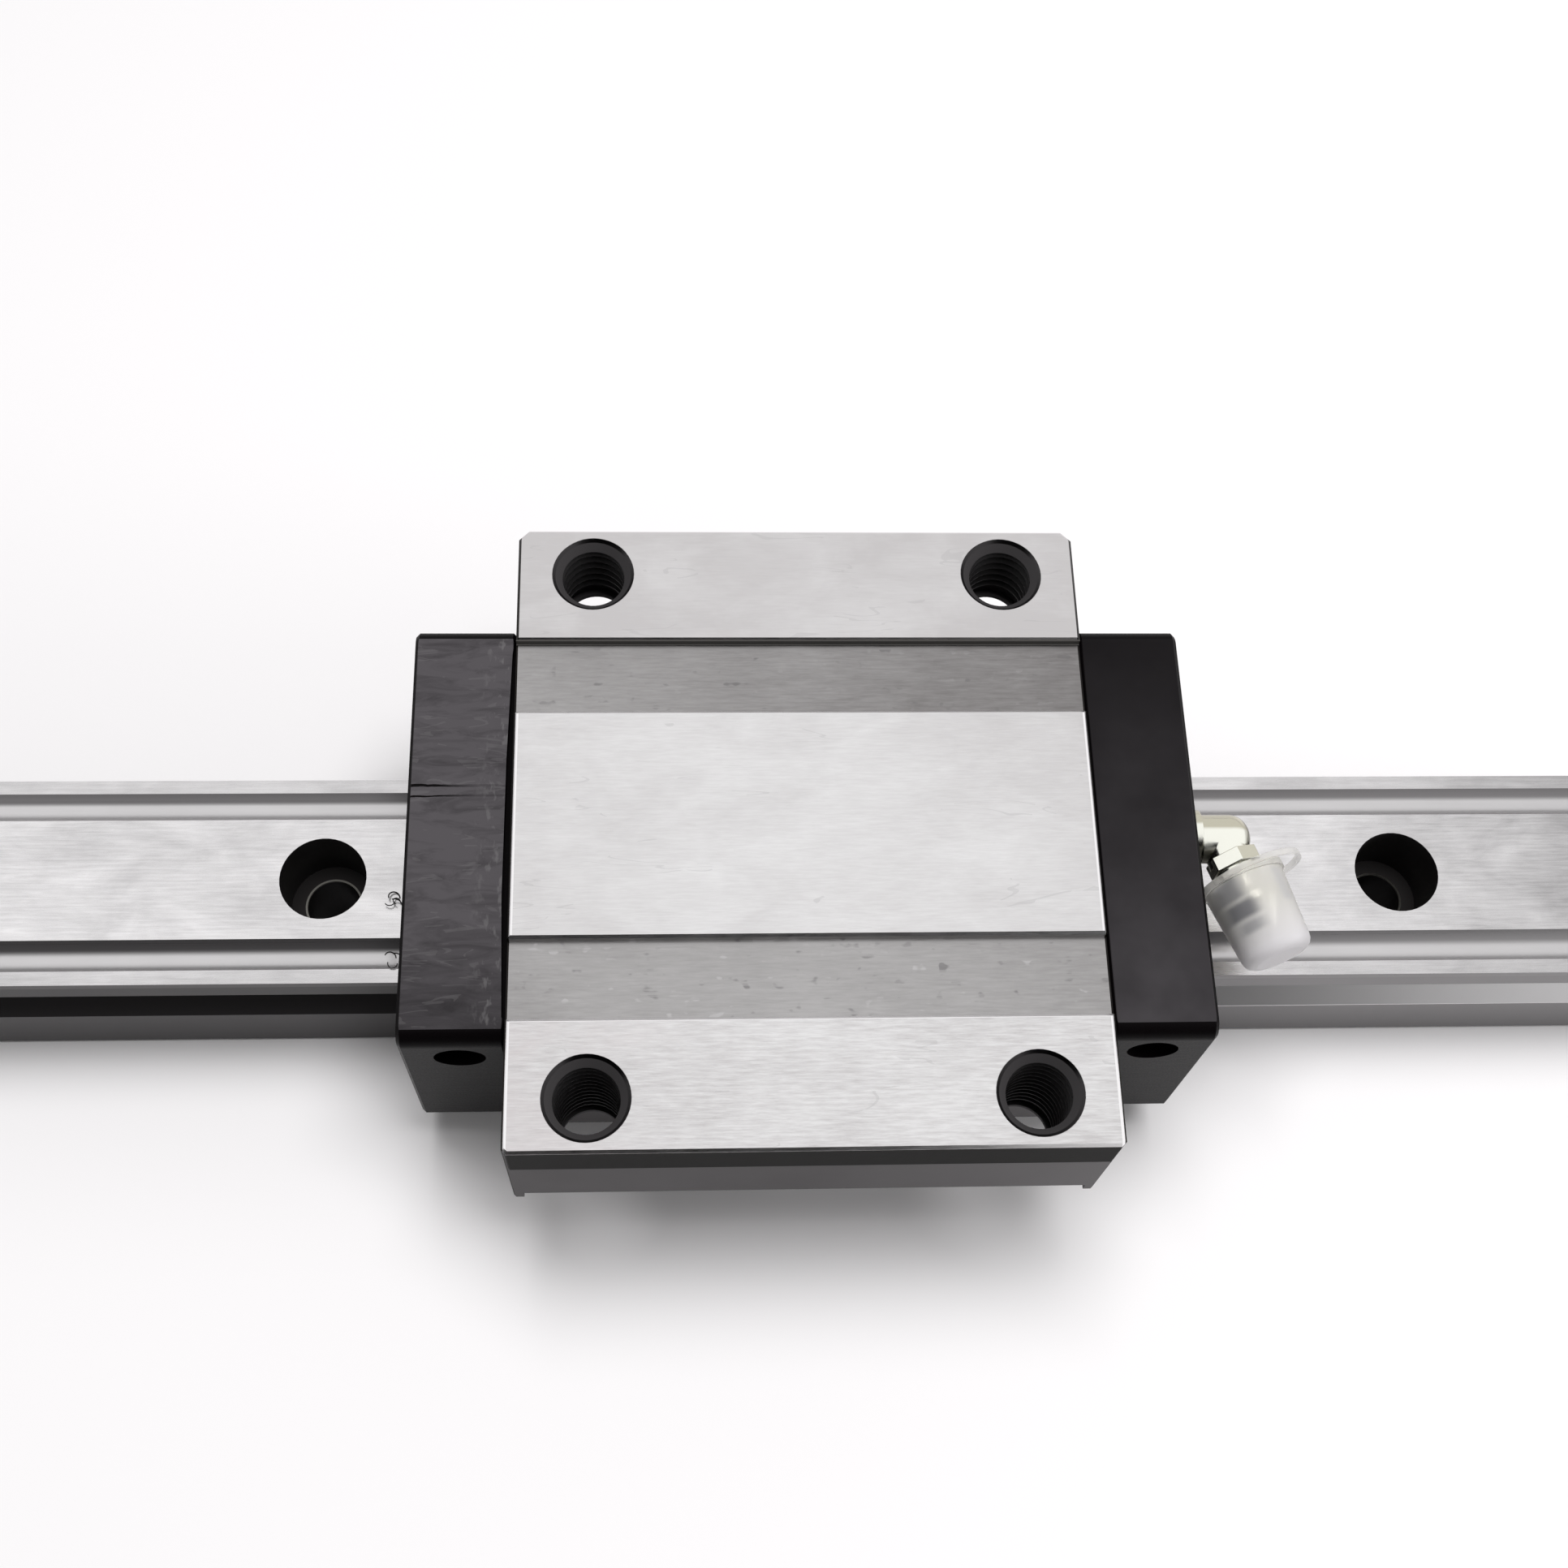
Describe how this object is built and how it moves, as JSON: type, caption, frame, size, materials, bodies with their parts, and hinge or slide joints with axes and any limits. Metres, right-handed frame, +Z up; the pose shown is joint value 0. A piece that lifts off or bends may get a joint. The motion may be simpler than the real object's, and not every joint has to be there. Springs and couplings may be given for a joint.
{
  "type": "linear bearing block on rail",
  "caption": "Flanged ball-bearing carriage with plastic end caps and an angled grease nipple, sliding on a counterbored profile rail.",
  "frame": {"origin": "middle of the rail's underside", "axes": "+X along the rail, +Y across it away from the side the grease nipple points to, +Z up out of the carriage's mounting face"},
  "size_m": [0.24, 0.07, 0.0374],
  "materials": {
    "ground_steel": "ground",
    "rail_steel": "ground",
    "ball_steel": "polished",
    "cap_plastic": "satin",
    "seal_rubber": "matte",
    "guide_plastic": "satin",
    "screw_steel": "zinc plated",
    "nipple_metal": "nickel plated",
    "cover_plastic": "translucent"
  },
  "bodies": {
    "rail": {"rail": "rail_steel"},
    "carriage": {"carriage_block": "ground_steel", "end_cap_left": "cap_plastic", "end_cap_right": "cap_plastic", "turn_guides_left": "guide_plastic", "turn_guides_right": "guide_plastic", "end_seal_left": "seal_rubber", "end_seal_right": "seal_rubber", "cap_screws_left": "screw_steel", "cap_screws_right": "screw_steel", "port_plugs": "screw_steel", "end_port_plug": "screw_steel", "bottom_seal_near": "seal_rubber", "bottom_seal_far": "seal_rubber", "side_retainer_near": "guide_plastic", "side_retainer_far": "guide_plastic", "lower_retainer_near": "guide_plastic", "lower_retainer_far": "guide_plastic", "upper_retainer": "guide_plastic", "balls_upper_near": "ball_steel", "balls_upper_far": "ball_steel", "balls_lower_near": "ball_steel", "balls_lower_far": "ball_steel", "nipple_washer": "nipple_metal", "nipple_elbow": "nipple_metal", "nipple_head": "nipple_metal", "nipple_check_ball": "ball_steel", "nipple_spring": "screw_steel"},
    "cover": {"nipple_cover": "cover_plastic"}
  },
  "joints": [
    {"name": "carriage_travel", "type": "slide", "parent": "rail", "child": "carriage", "axis": [1, 0, 0], "range_m": [-0.07, 0.086]},
    {"name": "cover_pull", "type": "slide", "parent": "carriage", "child": "cover", "axis": [0.3289, -0.9444, 0], "range_m": [0, 0.012]}
  ]
}
